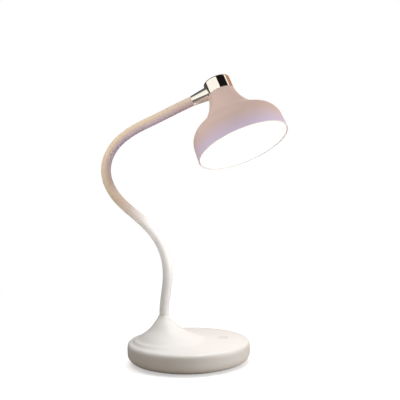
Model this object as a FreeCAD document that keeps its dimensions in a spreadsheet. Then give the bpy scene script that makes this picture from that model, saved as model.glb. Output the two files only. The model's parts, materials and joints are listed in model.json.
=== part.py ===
# Gooseneck desk lamp: a weighted pebble base, a bendable neck in a soft sleeve and a bell shade.
# All lengths are millimetres. The origin is the centre of the underside, +Z is up, and +X runs
# from the neck's cone towards the touch mark on the base.
import FreeCAD
import Part
import Sketcher
import math
import os
from types import SimpleNamespace
from FreeCAD import Placement, Rotation, Vector

doc = FreeCAD.newDocument("desk_lamp")
sheet = doc.addObject("Spreadsheet::Sheet", "Sizes")

driving = {
    # pebble base
    "base_radius": 61.2,
    "crown_height": 24.0,
    "crown_sphere": 420.0,
    "edge_curve": 6.0,
    "foot_curve": 9.5,
    "shell_wall": 2.4,
    "foot_width": 10.9,
    "pad_height": 1.2,
    "pad_margin": 0.9,
    "cover_height": 2.4,
    # cone that carries the neck
    "neck_place": -24.0,
    "lip_height": 48.3,
    "lip_radius": 5.7,
    "lip_bore": 5.05,
    "flare_height": 27.3,
    "back_lean_width": 14.4,
    "back_flare_width": 11.0,
    "front_lean_width": 17.0,
    "front_flare_width": 27.0,
    "cone_wall": 1.9,
    "cone_sink_depth": 2.2,
    "crease_rounding": 12.0,
    "floor_height": 30.0,
    "floor_thickness": 2.5,
    # weight and power
    "weight_gap": 1.4,
    "weight_height": 6.0,
    "weight_flat_gap": 6.2,
    "battery_width": 30.0,
    "battery_length": 50.0,
    "battery_height": 7.0,
    "battery_place": -3.0,
    "tray_wall": 1.2,
    "tray_height": 5.0,
    "cell_rounding": 2.0,
    # boards
    "board_thickness": 1.6,
    "board_width": 26.0,
    "board_length": 30.0,
    "board_height": 12.4,
    "board_setback": 4.0,
    "mark_place": 33.5,
    "post_radius": 2.4,
    "post_setback": 6.0,
    "post_spread": 11.5,
    "chip_width": 5.0,
    "chip_height": 1.4,
    "coil_width": 6.0,
    "coil_height": 2.6,
    "spring_radius": 3.0,
    "spring_wall": 0.6,
    "port_width": 8.94,
    "port_height": 3.2,
    "port_depth": 7.3,
    "port_wall": 0.4,
    "port_back_wall": 1.2,
    "port_recess": 0.6,
    "port_cut_depth": 12.0,
    "tongue_width": 6.7,
    "tongue_length": 5.6,
    "tongue_thickness": 0.7,
    "usb_board_gap": 1.6,
    "usb_board_height": 9.3,
    "usb_board_width": 15.0,
    "usb_board_length": 18.0,
    "usb_hole_setback": 3.5,
    "usb_hole_spread": 6.0,
    "light_radius": 1.1,
    "light_length": 5.0,
    "light_recess": 0.9,
    "light_place": 8.2,
    # fasteners
    "boss_margin": 3.9,
    "boss_radius": 3.5,
    "screw_radius": 1.4,
    "screw_head": 2.7,
    "head_height": 1.0,
    "cover_screw_length": 8.0,
    "weight_screw_ring": 29.0,
    "weight_screw_length": 6.0,
    "small_screw": 1.0,
    "small_head": 1.9,
    "small_head_height": 1.2,
    "small_screw_length": 4.5,
    # fits
    "fit": 0.05,
    "gap": 0.2,
    # neck
    "sleeve_radius": 4.8,
    "hose_radius": 3.3,
    "hose_bore": 1.5,
    "sleeve_gap": 0.25,
    "chain_start": 45.0,
    "link_length": 25.8,
    "hose_setback": 1.6,
    "neck_heading": -12.0,
    # fitting at the foot of the neck
    "stud_radius": 5.0,
    "stud_tail_length": 1.0,
    "flange_radius": 7.4,
    "flange_height": 2.0,
    "cup_radius": 5.8,
    "cup_height": 5.4,
    "cup_depth": 4.0,
    "lead_hole": 1.6,
    "lead_radius": 1.0,
    "lead_bend_radius": 2.4,
    "lead_gap": 0.5,
    "washer_radius": 8.4,
    "washer_height": 1.2,
    "nut_width": 15.0,
    "nut_height": 4.0,
    # lamp head
    "head_roll": -24.0,
    "ferrule_reach": 28.5,
    "ferrule_rise": 5.0,
    "ferrule_small": 5.0,
    "ferrule_large": 6.6,
    "ferrule_socket": 7.0,
    "ferrule_edge_width": 0.3,
    "stem_overlap": 2.0,
    "stem_radius": 4.0,
    "stem_end": 2.6,
    "stem_nut_width": 11.0,
    "stem_nut_height": 3.0,
    "grub_radius": 1.0,
    "grub_setback": 3.2,
    "grub_key_width": 1.0,
    "grub_key_depth": 0.8,
    "thread_fit": 0.02,
    "cap_radius": 13.2,
    "cap_height": 14.0,
    "cap_wall": 0.9,
    "cap_rounding": 2.0,
    "hub_chamfer_width": 0.6,
    "shade_top": 13.3,
    "shade_height": 59.3,
    "mouth_radius": 45.8,
    "shade_wall": 1.8,
    "neck_curve_radius": 35.0,
    "shoulder_curve_radius": 19.0,
    "neck_angle": 6.0,
    "steep_angle": 58.0,
    "skirt_angle": 3.5,
    "shelf_depth": 6.0,
    "shelf_thickness": 2.0,
    "pocket_width": 15.0,
    "pocket_front": 8.0,
    "pocket_back": 6.5,
    "pocket_top": 11.2,
    "hub_screw_spread": 9.4,
    "led_depth": 45.4,
    "led_board_radius": 38.5,
    "led_board_thickness": 1.6,
    "led_screw_ring": 33.0,
    "led_boss_radius": 3.0,
    "lead_window": 5.0,
    "led_size": 3.0,
    "led_height": 0.8,
    "led_ring": 25.0,
    "led_inner_ring": 12.0,
    "diffuser_recess": 0.5,
    "diffuser_thickness": 1.5,
    "diffuser_skirt_height": 6.0,
    "diffuser_edge_width": 0.6,
    "head_lead_start": 3.0,
    "head_lead_offset": 1.5,
}

# how far each link of the neck bends, in degrees, from the base up: minus leans back, plus leans forward
bends = {
    "angle_one": 11.0,
    "angle_two": -14.0,
    "angle_three": -24.0,
    "angle_four": -20.0,
    "angle_five": -1.0,
    "angle_six": 26.0,
    "angle_seven": 43.0,
    "angle_eight": 32.0,
    "angle_nine": 13.0,
    "angle_ten": -2.0,
    "angle_eleven": 2.0,
}
driving.update(bends)

# where the screws stand on their rings, in degrees from +X
cover_screw_turn = 45
weight_screw_turn = 60
led_screw_turn = 90
# how far a cutting shape runs past the face that it opens
over = 1.0


class Size(float):
    """A number that also knows how the sheet spells it."""

    def __new__(cls, value, spelled):
        made = super().__new__(cls, value)
        made.spelled = spelled
        return made

    def __add__(self, other):
        return Size(float(self) + float(other), f"({self.spelled} + {spell(other)})")

    def __radd__(self, other):
        return Size(float(other) + float(self), f"({spell(other)} + {self.spelled})")

    def __sub__(self, other):
        return Size(float(self) - float(other), f"({self.spelled} - {spell(other)})")

    def __rsub__(self, other):
        return Size(float(other) - float(self), f"({spell(other)} - {self.spelled})")

    def __mul__(self, other):
        return Size(float(self) * float(other), f"({self.spelled} * {spell(other)})")

    def __rmul__(self, other):
        return Size(float(other) * float(self), f"({spell(other)} * {self.spelled})")

    def __truediv__(self, other):
        return Size(float(self) / float(other), f"({self.spelled} / {spell(other)})")

    def __neg__(self):
        return Size(-float(self), f"(0 - {self.spelled})")


def spell(value):
    if isinstance(value, Size):
        return value.spelled
    return repr(float(value))


for row, (name, value) in enumerate(driving.items(), start=1):
    sheet.set(f"A{row}", name)
    sheet.set(f"B{row}", str(value))
    sheet.setAlias(f"B{row}", name)
doc.recompute()
size = SimpleNamespace(**{name: Size(float(sheet.get(name)), f"Sizes.{name}") for name in driving})

pieces = {}
along_z = Vector(0, 0, 1)


def tie(thing, prop, value):
    setattr(thing, prop, float(value))
    if isinstance(value, Size):
        thing.setExpression(prop, value.spelled)


def spot(x=0, y=0, z=0, turn=None):
    return Placement(Vector(x, y, z), turn or Rotation())


def keep(thing, label, place=None):
    """Registers a finished sub-part under its own name and puts it in its place."""
    thing.Label = label
    if place is not None:
        thing.Placement = place * thing.Placement
    pieces[label] = thing
    return thing


# Part shapes


def cylinder(radius, length, place=None):
    made = doc.addObject("Part::Cylinder", "Cylinder")
    tie(made, "Radius", radius)
    tie(made, "Height", length)
    made.Placement = place or Placement()
    return made


def box(x, y, z, place=None):
    """A box that is centred in X and Y and stands on its placement."""
    made = doc.addObject("Part::Box", "Box")
    tie(made, "Length", x)
    tie(made, "Width", y)
    tie(made, "Height", z)
    made.Placement = (place or Placement()) * spot(-x / 2, -y / 2)
    return made


def hexagon(width, length, place=None):
    """A hexagonal bar, `width` across its flats, with two flats across X."""
    made = doc.addObject("Part::Prism", "Prism")
    made.Polygon = 6
    tie(made, "Circumradius", width / math.sqrt(3))
    tie(made, "Height", length)
    made.Placement = place or Placement()
    return made


def fused(*shapes):
    made = doc.addObject("Part::MultiFuse", "Fused")
    made.Shapes = list(shapes)
    return made


def cut(base, *tools):
    made = doc.addObject("Part::Cut", "Cut")
    made.Base = base
    made.Tool = tools[0] if len(tools) == 1 else fused(*tools)
    return made


def common(base, tool):
    made = doc.addObject("Part::Common", "Common")
    made.Base = base
    made.Tool = tool
    return made


def group(*shapes):
    made = doc.addObject("Part::Compound", "Group")
    made.Links = list(shapes)
    return made


def around(count, ring, first=0.0):
    """Points spaced evenly on a ring."""
    step = 360.0 / count
    turns = [math.radians(first + step * i) for i in range(count)]
    return [(ring * math.cos(turn), ring * math.sin(turn)) for turn in turns]


# Sketches


def point_at(sketch, edge, end, x, y):
    """Ties one end of a sketch edge to its two distances from the origin."""
    if abs(x) < 1e-9:
        sketch.addConstraint(Sketcher.Constraint("PointOnObject", edge, end, -2))
    else:
        index = sketch.addConstraint(Sketcher.Constraint("DistanceX", -1, 1, edge, end, float(x)))
        if isinstance(x, Size):
            sketch.setExpression(f"Constraints[{index}]", x.spelled)
    if abs(y) < 1e-9:
        sketch.addConstraint(Sketcher.Constraint("PointOnObject", edge, end, -1))
    else:
        index = sketch.addConstraint(Sketcher.Constraint("DistanceY", -1, 1, edge, end, float(y)))
        if isinstance(y, Size):
            sketch.setExpression(f"Constraints[{index}]", y.spelled)


def outline(sketch, start, *legs):
    """A closed outline. A leg is the (x, y) that a line runs to, or (middle, end) of an arc."""
    ends = [start] + [leg if isinstance(leg[0], float) or isinstance(leg[0], int) else leg[1] for leg in legs]
    for index, leg in enumerate(legs):
        a = Vector(*map(float, ends[index]), 0)
        b = Vector(*map(float, ends[index + 1]), 0)
        if isinstance(leg[0], tuple):
            edge = Part.Arc(a, Vector(*map(float, leg[0]), 0), b)
        else:
            edge = Part.LineSegment(a, b)
        sketch.addGeometry(edge, False)
    last = len(legs)
    a = Vector(*map(float, ends[-1]), 0)
    b = Vector(*map(float, start), 0)
    sketch.addGeometry(Part.LineSegment(a, b), False)
    for index in range(last + 1):
        # an arc made from three points may run backwards, so its ends are matched by place
        following = (index + 1) % (last + 1)
        joint = Vector(*map(float, ends[following]), 0)
        here = 2 if sketch.getPoint(index, 2).distanceToPoint(joint) < 1e-6 else 1
        there = 1 if sketch.getPoint(following, 1).distanceToPoint(joint) < 1e-6 else 2
        sketch.addConstraint(Sketcher.Constraint("Coincident", index, here, following, there))
        point_at(sketch, index, here, *ends[following])


def sketch_in(body, role):
    sketch = body.newObject("Sketcher::SketchObject", "Sketch")
    plane = [part for part in body.Origin.OriginFeatures if part.Role == role][0]
    sketch.AttachmentSupport = [(plane, "")]
    sketch.MapMode = "FlatFace"
    return sketch


def turned(start, *legs):
    """A PartDesign body turned about Z from an outline of (radius, height) corners."""
    body = doc.addObject("PartDesign::Body", "Body")
    sketch = sketch_in(body, "XZ_Plane")
    outline(sketch, start, *legs)
    turn = body.newObject("PartDesign::Revolution", "Revolution")
    turn.Profile = sketch
    turn.ReferenceAxis = (sketch, ["V_Axis"])
    turn.Angle = 360
    body.Tip = turn
    return body


def screw(radius, length, head, head_height, place):
    """A pan-head screw: the head stands on its placement and the shank runs down from it."""
    bottom = -length
    body = turned(
        (0, bottom),
        (radius, bottom),
        (radius, 0),
        (head, 0),
        (head, head_height / 2),
        (head - head_height / 2, head_height),
        (0, head_height),
    )
    body.Placement = place
    return body


def pipe(points, radius, bend):
    """A round lead along straight runs joined by tangent arcs."""
    spots = [Vector(*map(float, p)) for p in points]
    edges = []
    at = spots[0]
    for before, corner, after in zip(spots, spots[1:], spots[2:]):
        into = (corner - before).normalize()
        out = (after - corner).normalize()
        half_turn = into.getAngle(out) / 2
        back = bend * math.tan(half_turn)
        start = corner - into * back
        end = corner + out * back
        middle_way = (out - into).normalize()
        middle = corner + middle_way * (bend / math.cos(half_turn) - bend)
        edges.append(Part.LineSegment(at, start).toShape())
        edges.append(Part.Arc(start, middle, end).toShape())
        at = end
    edges.append(Part.LineSegment(at, spots[-1]).toShape())
    wire = Part.Wire(edges)
    circle = Part.Wire([Part.makeCircle(radius, spots[0], (spots[1] - spots[0]).normalize())])
    made = doc.addObject("Part::Feature", "Lead")
    made.Shape = wire.makePipeShell([circle], True, False)
    return made


# Base: heights and rings that the pieces share
cover_bottom = size.pad_height
cover_top = cover_bottom + size.cover_height
weight_top = cover_top + size.weight_height
opening_radius = size.base_radius - size.foot_width
boss_ring = opening_radius - size.boss_margin
weight_radius = boss_ring - size.boss_radius - size.weight_gap
# the fitting at the foot of the neck
flange_bottom = size.floor_height + size.floor_thickness
cup_bottom = flange_bottom + size.flange_height
cup_top = cup_bottom + size.cup_height
root_start = cup_top - size.cup_depth


def pebble(inset):
    """The round base as a solid, or its hollow when it is inset by the wall."""
    radius = size.base_radius - inset
    crown = size.crown_height - inset
    edge = size.edge_curve - inset
    foot = size.foot_curve - inset
    sphere = size.crown_sphere - inset
    foot_middle = size.base_radius - size.foot_curve
    foot_level = size.pad_height + size.foot_curve
    edge_middle = size.base_radius - size.edge_curve
    sphere_middle = size.crown_height - size.crown_sphere
    reach = math.sqrt((size.crown_sphere - size.edge_curve) ** 2 - edge_middle**2)
    edge_level = sphere_middle + reach
    # where the rounded edge runs into the crown, on the line through both centres
    share = sphere / (sphere - edge)
    rim = (edge_middle * share, sphere_middle + reach * share)
    rim_turn = math.atan2(reach, edge_middle)
    corner = math.sqrt(0.5)
    crown_turn = (math.pi / 2 + rim_turn) / 2
    return turned(
        (0, size.pad_height + inset),
        (foot_middle, size.pad_height + inset),
        ((foot_middle + foot * corner, foot_level - foot * corner), (radius, foot_level)),
        (radius, edge_level),
        (
            (edge_middle + edge * math.cos(rim_turn / 2), edge_level + edge * math.sin(rim_turn / 2)),
            rim,
        ),
        (
            (sphere * math.cos(crown_turn), sphere_middle + sphere * math.sin(crown_turn)),
            (0, crown),
        ),
    )


def cone_ring(share, inset, drop):
    """One round section of the cone, `share` of the way down its flare. It widens more to the front."""
    back = size.lip_radius + size.back_lean_width * share + size.back_flare_width * share**3 - inset
    front = size.lip_radius + size.front_lean_width * share + size.front_flare_width * share**3 - inset
    ring = doc.addObject("Part::Circle", "Ring")
    tie(ring, "Radius", (back + front) / 2)
    height = size.lip_height - size.flare_height * share - drop
    ring.Placement = spot(size.neck_place + (front - back) / 2, 0, height)
    return ring


def cone(shares, inset, sink):
    """The trumpet under the neck, lofted through its sections and sunk into the pebble."""
    rings = [cone_ring(share, inset, inset) for share in shares]
    rings.append(cone_ring(shares[-1], inset, inset + sink))
    loft = doc.addObject("Part::Loft", "Cone")
    loft.Sections = rings
    loft.Solid = True
    loft.Ruled = False
    return loft


def pebble_with_cone():
    """The outside of the base's shell, with the crease round the foot of the cone rounded."""
    stone = pebble(0)
    trumpet = cone([0, 0.2, 0.4, 0.6, 0.8, 0.92, 1.0], 0, size.cone_sink_depth)
    joined = fused(stone, trumpet)
    doc.recompute()
    # the crease is the one closed edge that neither solid has alone
    known = [edge.CenterOfMass for solid in (stone, trumpet) for edge in solid.Shape.Edges]
    crease = [
        index
        for index, edge in enumerate(joined.Shape.Edges, start=1)
        if edge.isClosed() and min(edge.CenterOfMass.distanceToPoint(place) for place in known) > 0.01
    ]
    rounded = doc.addObject("Part::Fillet", "Rounded")
    rounded.Base = joined
    rounded.Edges = [(index, size.crease_rounding, size.crease_rounding) for index in crease]
    return rounded


def base_top_shell():
    outer = pebble_with_cone()
    hollow = fused(
        pebble(size.shell_wall),
        cone([0.22, 0.4, 0.6, 0.8, 0.95], size.cone_wall, 2 * size.cone_sink_depth),
        cylinder(opening_radius, size.shell_wall + 2 * over, spot(z=cover_bottom - over)),
    )
    neck_floor = cylinder(
        size.base_radius, size.floor_thickness, spot(size.neck_place, 0, size.floor_height)
    )
    bosses = [
        cylinder(size.boss_radius, size.crown_height, spot(x, y, cover_top + size.fit))
        for x, y in around(4, boss_ring, cover_screw_turn)
    ]
    posts = [
        cylinder(size.post_radius, size.crown_height, spot(x, y, board_top))
        for x, y in board_holes
    ]
    body = cut(outer, cut(hollow, neck_floor, *bosses, *posts))
    lip = cylinder(
        size.lip_bore, size.lip_height - cup_top + 2 * over, spot(size.neck_place, 0, cup_top - over)
    )
    # the fitting's cup always has its room, however high the floor stands
    cup_room = cylinder(
        size.cup_radius + size.gap,
        cup_top + size.fit - flange_bottom,
        spot(size.neck_place, 0, flange_bottom),
    )
    stud = cylinder(
        size.stud_radius + size.fit,
        size.floor_thickness + 2 * over,
        spot(size.neck_place, 0, size.floor_height - over),
    )
    pilots = [
        cylinder(size.screw_radius + size.fit, size.cover_screw_length, spot(x, y, cover_top - over))
        for x, y in around(4, boss_ring, cover_screw_turn)
    ]
    board_pilots = [
        cylinder(size.small_screw + size.fit, size.small_screw_length, spot(x, y, board_top - over))
        for x, y in board_holes
    ]
    port = slot(
        size.port_width + 2 * size.gap,
        size.port_height + 2 * size.gap,
        size.port_cut_depth,
        port_middle,
    )
    light = cylinder(
        size.light_radius + size.fit,
        size.port_cut_depth,
        spot(-size.base_radius - over, size.light_place, port_level, to_front),
    )
    return keep(cut(body, lip, cup_room, stud, *pilots, *board_pilots, port, light), "base_top_shell")


def slot(width, height, depth, middle):
    """A port-shaped bar along X: a rectangle with round ends, `middle` at its outer face."""
    straight = width - height
    bar = box(depth, straight, height, spot(depth / 2, 0, -height / 2))
    ends = [
        cylinder(height / 2, depth, spot(0, side * straight / 2, 0, to_front)) for side in (-1, 1)
    ]
    made = fused(bar, *ends)
    made.Placement = middle
    return made


to_front = Rotation(Vector(0, 1, 0), 90)
board_top = size.board_height + size.board_thickness
board_holes = [(size.mark_place - size.post_setback, side * size.post_spread) for side in (-1, 1)]
port_level = size.usb_board_height + size.board_thickness + size.port_height / 2
port_middle = spot(-size.base_radius - over, 0, port_level)
usb_front = size.shell_wall + size.usb_board_gap - size.base_radius
usb_back = usb_front + size.usb_board_width
usb_holes = [(usb_back - size.usb_hole_setback, side * size.usb_hole_spread) for side in (-1, 1)]


def base_bottom_cover():
    body = turned(
        (0, cover_bottom),
        (opening_radius - size.gap, cover_bottom),
        (opening_radius - size.gap, cover_top),
        (0, cover_top),
    )
    recess = size.head_height + size.fit
    holes = []
    for x, y in around(4, boss_ring, cover_screw_turn) + around(3, size.weight_screw_ring, weight_screw_turn):
        below = spot(x, y, cover_bottom - over)
        holes.append(cylinder(size.screw_radius + size.gap, size.cover_height + 2 * over, below))
        holes.append(cylinder(size.screw_head + size.gap, recess + over, below))
    posts = [
        cylinder(size.post_radius, size.usb_board_height - cover_top + over, spot(x, y, cover_top - over))
        for x, y in usb_holes
    ]
    pilots = [
        cylinder(
            size.small_screw + size.fit,
            size.small_screw_length,
            spot(x, y, size.usb_board_height + size.board_thickness - size.small_screw_length),
        )
        for x, y in usb_holes
    ]
    return keep(cut(fused(body, *posts), *holes, *pilots), "base_bottom_cover")


def non_slip_pad():
    radius = opening_radius - size.pad_margin
    body = turned((0, 0), (radius, 0), (radius, cover_bottom), (0, cover_bottom))
    return keep(body, "non_slip_pad")


def screws_from_below(points, length, label):
    heads_down = Rotation(Vector(1, 0, 0), 180)
    made = [
        screw(
            size.screw_radius,
            length,
            size.screw_head,
            size.head_height,
            spot(x, y, cover_bottom + size.head_height, heads_down),
        )
        for x, y in points
    ]
    return keep(group(*made), label)


def counterweight():
    disc = cylinder(weight_radius, size.weight_height, spot(z=cover_top))
    # a flat on the disc leaves the USB board its room
    flat = box(
        weight_radius,
        2 * weight_radius,
        size.weight_height + 2 * over,
        spot(usb_back + size.weight_flat_gap - weight_radius / 2, 0, cover_top - over),
    )
    holes = [
        cylinder(size.screw_radius + size.fit, size.weight_screw_length, spot(x, y, cover_top - over))
        for x, y in around(3, size.weight_screw_ring, weight_screw_turn)
    ]
    return keep(cut(disc, flat, *holes), "counterweight")


def battery_cradle():
    inner_width = size.battery_width + 2 * size.gap
    inner_length = size.battery_length + 2 * size.gap
    tray = box(
        inner_width + 2 * size.tray_wall,
        inner_length + 2 * size.tray_wall,
        size.tray_height,
        spot(size.battery_place, 0, weight_top),
    )
    room = box(
        inner_width, inner_length, size.tray_height, spot(size.battery_place, 0, weight_top + size.tray_wall)
    )
    return keep(cut(tray, room), "battery_cradle")


def battery_cell():
    cell = box(
        size.battery_width,
        size.battery_length,
        size.battery_height,
        spot(size.battery_place, 0, weight_top + size.tray_wall),
    )
    doc.recompute()
    rounded = doc.addObject("Part::Fillet", "Rounded")
    rounded.Base = cell
    upright = [
        i + 1
        for i, edge in enumerate(cell.Shape.Edges)
        if abs(edge.Vertexes[0].Z - edge.Vertexes[1].Z) > 1
    ]
    rounded.Edges = [(i, size.cell_rounding, size.cell_rounding) for i in upright]
    return keep(rounded, "battery_cell")


def control_board():
    level = size.board_height
    middle = size.mark_place - size.board_setback
    board = box(size.board_width, size.board_length, size.board_thickness, spot(middle, 0, level))
    holes = [
        cylinder(size.small_screw + size.gap, size.board_thickness + 2 * over, spot(x, y, level - over))
        for x, y in board_holes
    ]
    # a chip and an inductor hang under the board, side by side
    chip_width = size.chip_width
    chip_place = spot(middle, chip_width, level - size.chip_height)
    chip = box(chip_width, chip_width, size.chip_height, chip_place)
    coil_width = size.coil_width
    coil_place = spot(middle, -coil_width, level - size.coil_height)
    coil = box(coil_width, coil_width, size.coil_height, coil_place)
    return keep(fused(cut(board, *holes), chip, coil), "control_board")


def control_board_screws():
    heads_down = Rotation(Vector(1, 0, 0), 180)
    made = [
        screw(
            size.small_screw,
            size.small_screw_length,
            size.small_head,
            size.small_head_height,
            spot(x, y, size.board_height, heads_down),
        )
        for x, y in board_holes
    ]
    return keep(group(*made), "control_board_screws")


def touch_spring():
    """The contact spring under the touch mark, drawn as its outer tube."""
    reach = size.mark_place + size.spring_radius
    drop = reach**2 / (2 * (size.crown_sphere - size.shell_wall))
    top = size.crown_height - size.shell_wall - drop
    tube = turned(
        (size.spring_radius - size.spring_wall, board_top),
        (size.spring_radius, board_top),
        (size.spring_radius * 0.8, top),
        (size.spring_radius * 0.8 - size.spring_wall, top),
    )
    return keep(tube, "touch_spring", spot(size.mark_place))


def usb_board():
    board = box(
        size.usb_board_width,
        size.usb_board_length,
        size.board_thickness,
        spot((usb_front + usb_back) / 2, 0, size.usb_board_height),
    )
    holes = [
        cylinder(
            size.small_screw + size.gap,
            size.board_thickness + 2 * over,
            spot(x, y, size.usb_board_height - over),
        )
        for x, y in usb_holes
    ]
    return keep(cut(board, *holes), "usb_board")


def usb_board_screws():
    made = [
        screw(
            size.small_screw,
            size.small_screw_length,
            size.small_head,
            size.small_head_height,
            spot(x, y, size.usb_board_height + size.board_thickness),
        )
        for x, y in usb_holes
    ]
    return keep(group(*made), "usb_board_screws")


def usb_socket():
    mouth = size.port_recess - size.base_radius
    wall = size.port_wall
    back_wall = size.port_back_wall
    shell = slot(size.port_width, size.port_height, size.port_depth, spot(mouth, 0, port_level))
    room = slot(
        size.port_width - 2 * wall,
        size.port_height - 2 * wall,
        size.port_depth + over - back_wall,
        spot(mouth - over, 0, port_level),
    )
    # the tongue stands out of the back wall
    tongue = box(
        size.tongue_length,
        size.tongue_width,
        size.tongue_thickness,
        spot(
            mouth + size.port_depth - (size.tongue_length + back_wall) / 2,
            0,
            port_level - size.tongue_thickness / 2,
        ),
    )
    return keep(fused(cut(shell, room), tongue), "usb_socket")


def charge_light_pipe():
    front = size.light_recess - size.base_radius
    rod = cylinder(size.light_radius, size.light_length, spot(front, size.light_place, port_level, to_front))
    return keep(rod, "charge_light_pipe")


# Foot of the neck: a threaded stud through the floor inside the cone


def gooseneck_lower_fitting():
    bore = size.hose_radius + size.fit
    stud_bottom = size.floor_height - size.washer_height - size.nut_height - size.stud_tail_length
    body = turned(
        (size.lead_hole, stud_bottom),
        (size.stud_radius, stud_bottom),
        (size.stud_radius, flange_bottom),
        (size.flange_radius, flange_bottom),
        (size.flange_radius, cup_bottom),
        (size.cup_radius, cup_bottom),
        (size.cup_radius, cup_top),
        (bore, cup_top),
        (bore, root_start),
        (size.lead_hole, root_start),
    )
    return keep(body, "gooseneck_lower_fitting", spot(size.neck_place))


def gooseneck_washer():
    body = turned(
        (size.stud_radius + size.gap, size.floor_height - size.washer_height),
        (size.washer_radius, size.floor_height - size.washer_height),
        (size.washer_radius, size.floor_height),
        (size.stud_radius + size.gap, size.floor_height),
    )
    return keep(body, "gooseneck_washer", spot(size.neck_place))


def gooseneck_nut():
    level = size.floor_height - size.washer_height - size.nut_height
    bar = hexagon(size.nut_width, size.nut_height, spot(z=level))
    thread = cylinder(size.stud_radius + size.fit, size.nut_height + 2 * over, spot(z=level - over))
    return keep(cut(bar, thread), "gooseneck_nut", spot(size.neck_place))


def base_lead():
    """The lead from the neck's foot over the battery to the control board."""
    level = weight_top + size.tray_wall + size.battery_height + size.lead_radius + size.lead_gap
    landing = size.mark_place - size.board_setback - size.board_width / 2 + 2 * size.lead_radius
    points = [
        (size.neck_place, 0, root_start - size.lead_gap),
        (size.neck_place, 0, level),
        (landing, 0, level),
        (landing, 0, board_top),
    ]
    return keep(pipe(points, size.lead_radius, size.lead_bend_radius), "base_lead")


# Neck: equal links, each bent evenly, with a hinge at the middle of each
links = [getattr(size, name) for name in bends]
names = [f"{number:02d}" for number in range(1, len(links) + 1)]


def ahead(bend, distance):
    """The place and direction after `distance` along a link that bends by `bend`."""
    turn = bend * distance / size.link_length
    if abs(bend) < 1e-6:
        return spot(z=distance)
    radius = size.link_length / math.radians(bend)
    angle = math.radians(turn)
    there = Vector(radius * (1 - math.cos(angle)), 0, radius * math.sin(angle))
    return Placement(there, Rotation(Vector(0, 1, 0), turn))


def bent_tube(outer, inner, bend, start, end):
    """The stretch of a link's tube between two distances along it, in the link's own frame."""
    length = end - start
    if abs(bend) < 1e-6:
        tube = cut(cylinder(outer, length), cylinder(inner, length))
        tube.Placement = spot(z=start)
        return tube
    profile = doc.addObject("Sketcher::SketchObject", "TubeSection")
    for radius in (outer, inner):
        index = profile.addGeometry(Part.Circle(Vector(), along_z, float(radius)), False)
        profile.addConstraint(Sketcher.Constraint("Coincident", index, 3, -1, 1))
        ring = profile.addConstraint(Sketcher.Constraint("Radius", index, float(radius)))
        if isinstance(radius, Size):
            profile.setExpression(f"Constraints[{ring}]", radius.spelled)
    tube = doc.addObject("Part::Revolution", "Tube")
    tube.Source = profile
    side = math.copysign(1, bend)
    tube.Axis = Vector(0, side, 0)
    tube.Base = Vector(size.link_length / math.radians(bend), 0, 0)
    tube.Angle = abs(bend) * length / size.link_length
    tube.Solid = True
    tube.Placement = ahead(bend, start)
    return tube


def link_places():
    """Where each link starts: the whole neck lies in one upright plane through the cone's axis."""
    turn = Rotation(along_z, float(size.neck_heading))
    place = Placement(Vector(size.neck_place, 0, size.chain_start), turn)
    places = [place]
    for bend in links:
        place = place * ahead(bend, size.link_length)
        places.append(place)
    return places


starts = link_places()
half = size.link_length / 2
sleeve_bore = size.hose_radius + size.sleeve_gap


def sleeves():
    root = turned(
        (sleeve_bore, cup_top),
        (size.sleeve_radius, cup_top),
        (size.sleeve_radius, size.chain_start),
        (sleeve_bore, size.chain_start),
    )
    keep(root, "sleeve_root", spot(size.neck_place))
    for name, bend, place in zip(names, links, starts):
        tube = bent_tube(size.sleeve_radius, sleeve_bore, bend, 0, size.link_length)
        keep(tube, f"sleeve_{name}", place)


def hoses():
    """The steel hose inside the sleeve, cut at each hinge with room for it to bend."""
    back = size.hose_setback
    # the root runs from its cup to the first hinge
    straight = cut(
        cylinder(size.hose_radius, size.chain_start - root_start, spot(size.neck_place, 0, root_start)),
        cylinder(size.hose_bore, size.chain_start - root_start, spot(size.neck_place, 0, root_start)),
    )
    first = bent_tube(size.hose_radius, size.hose_bore, links[0], 0, half - back)
    first.Placement = starts[0] * first.Placement
    keep(fused(straight, first), "hose_root")
    for index in range(len(links) - 1):
        lower = bent_tube(size.hose_radius, size.hose_bore, links[index], half + back, size.link_length)
        lower.Placement = starts[index] * lower.Placement
        upper = bent_tube(size.hose_radius, size.hose_bore, links[index + 1], 0, half - back)
        upper.Placement = starts[index + 1] * upper.Placement
        keep(fused(lower, upper), f"hose_{names[index]}")
    lower = bent_tube(size.hose_radius, size.hose_bore, links[-1], half + back, size.link_length)
    lower.Placement = starts[-2] * lower.Placement
    tip = cut(cylinder(size.hose_radius, size.ferrule_socket), cylinder(size.hose_bore, size.ferrule_socket))
    tip.Placement = starts[-1]
    keep(fused(lower, tip), f"hose_{names[-1]}")


# Lamp head: built about the shade's axis, with the ferrule along -X and the mouth facing -Z.
# The frame's origin is where that axis crosses the joint between the chrome cap and the shade.
end_of_neck = starts[-1]
upright = Placement(Vector(), Rotation(Vector(0, 1, 0), -90))
rolled = Placement(Vector(), Rotation(Vector(1, 0, 0), float(size.head_roll)))
head = end_of_neck * upright * rolled * spot(size.ferrule_reach, 0, -size.ferrule_rise)


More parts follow.
